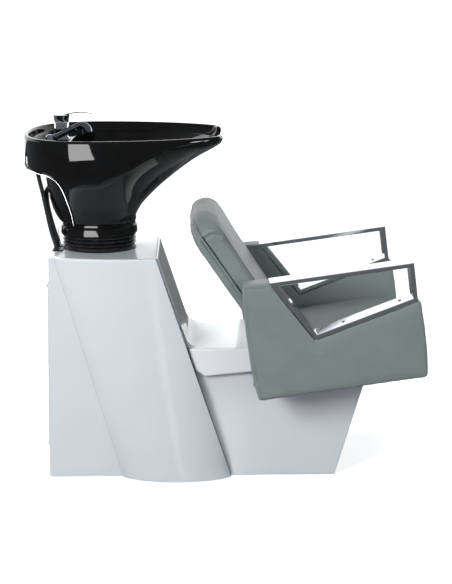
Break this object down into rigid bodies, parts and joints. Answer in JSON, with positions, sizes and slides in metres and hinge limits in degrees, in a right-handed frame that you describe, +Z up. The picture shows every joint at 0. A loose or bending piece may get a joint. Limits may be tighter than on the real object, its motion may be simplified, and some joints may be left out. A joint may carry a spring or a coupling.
{
  "type": "shampoo backwash unit",
  "caption": "Salon shampoo unit: tilting black basin with mixer and hand spray on a moulded pedestal, joined to a reclined upholstered armchair with looped metal arms.",
  "frame": {"origin": "floor level under the middle of the overall length, on the symmetry plane", "axes": "+X towards the chair's front edge, +Y towards the sitter's left arm, +Z up"},
  "size_m": [1.1145, 0.64, 1.034],
  "materials": {
    "white_shell": "gloss",
    "tray_white": "gloss",
    "black_ceramic": "gloss",
    "black_rubber": "satin",
    "black_plastic": "satin",
    "leatherette": "satin",
    "chrome": "polished",
    "steel": "satin",
    "black_steel": "satin",
    "brass": "satin",
    "plywood": "matte"
  },
  "bodies": {
    "base": {"arm_loop_left": "chrome", "arm_loop_right": "chrome", "arm_screw_left_1": "chrome", "arm_screw_left_2": "chrome", "arm_screw_right_1": "chrome", "arm_screw_right_2": "chrome", "back_spacer_left": "black_steel", "back_spacer_right": "black_steel", "backrest_cover": "leatherette", "backrest_cushion": "leatherette", "base_frame": "plywood", "bellows": "black_rubber", "bellows_clamp_ring": "black_plastic", "bowl_support_plate": "black_steel", "bracket_bolt_1": "steel", "bracket_bolt_2": "steel", "bracket_bolt_3": "steel", "bracket_bolt_4": "steel", "column_shell": "white_shell", "feed_hose_cold": "black_rubber", "feed_hose_grommet": "black_rubber", "feed_hose_hot": "black_rubber", "feed_valve_cold": "brass", "feed_valve_hot": "brass", "levelling_foot_1": "black_plastic", "levelling_foot_2": "black_plastic", "levelling_foot_3": "black_plastic", "levelling_foot_4": "black_plastic", "limit_chain": "chrome", "panel_screw_1": "chrome", "panel_screw_2": "chrome", "panel_screw_3": "chrome", "panel_screw_4": "chrome", "plinth_shell": "white_shell", "rear_access_panel": "white_shell", "saddle_cover": "tray_white", "seat_board": "plywood", "seat_cushion": "leatherette", "seat_rail_front": "plywood", "seat_rail_rear": "plywood", "side_panel_left": "leatherette", "side_panel_right": "leatherette", "spray_hose": "black_rubber", "spray_hose_grommet": "black_rubber", "tilt_bracket_base": "black_steel", "tilt_pin_left": "steel", "tilt_pin_right": "steel", "waste_hose": "black_plastic", "waste_trap": "black_plastic"},
    "bowl": {"basin": "black_ceramic", "tilt_bracket_bowl": "black_steel", "waste_flange": "chrome", "waste_back_nut": "brass", "mixer_body": "chrome", "mixer_back_nut": "brass", "spray_holder": "chrome"},
    "mixer_head": {"mixer_cap": "chrome"},
    "lever": {"mixer_lever": "chrome"},
    "spray": {"spray_handle": "chrome", "spray_head": "chrome"}
  },
  "joints": [
    {"name": "bowl_tilt", "type": "hinge", "parent": "base", "child": "bowl", "pos_m": [-0.353, 0, 0.672], "axis": [0, 1, 0], "range_deg": [-5, 12], "deforming": ["bellows", "spray_hose", "feed_hose_cold", "feed_hose_hot", "waste_hose", "limit_chain"]},
    {"name": "lever_swing", "type": "hinge", "parent": "bowl", "child": "mixer_head", "pos_m": [-0.4545, 0, 1.015], "axis": [0, 0, 1], "range_deg": [-45, 45]},
    {"name": "lever_lift", "type": "hinge", "parent": "mixer_head", "child": "lever", "pos_m": [-0.446, 0, 1.0175], "axis": [0, -1, 0], "range_deg": [0, 25]},
    {"name": "spray_pull", "type": "slide", "parent": "bowl", "child": "spray", "axis": [0.8988, 0, 0.4384], "range_m": [0, 0.05]}
  ]
}
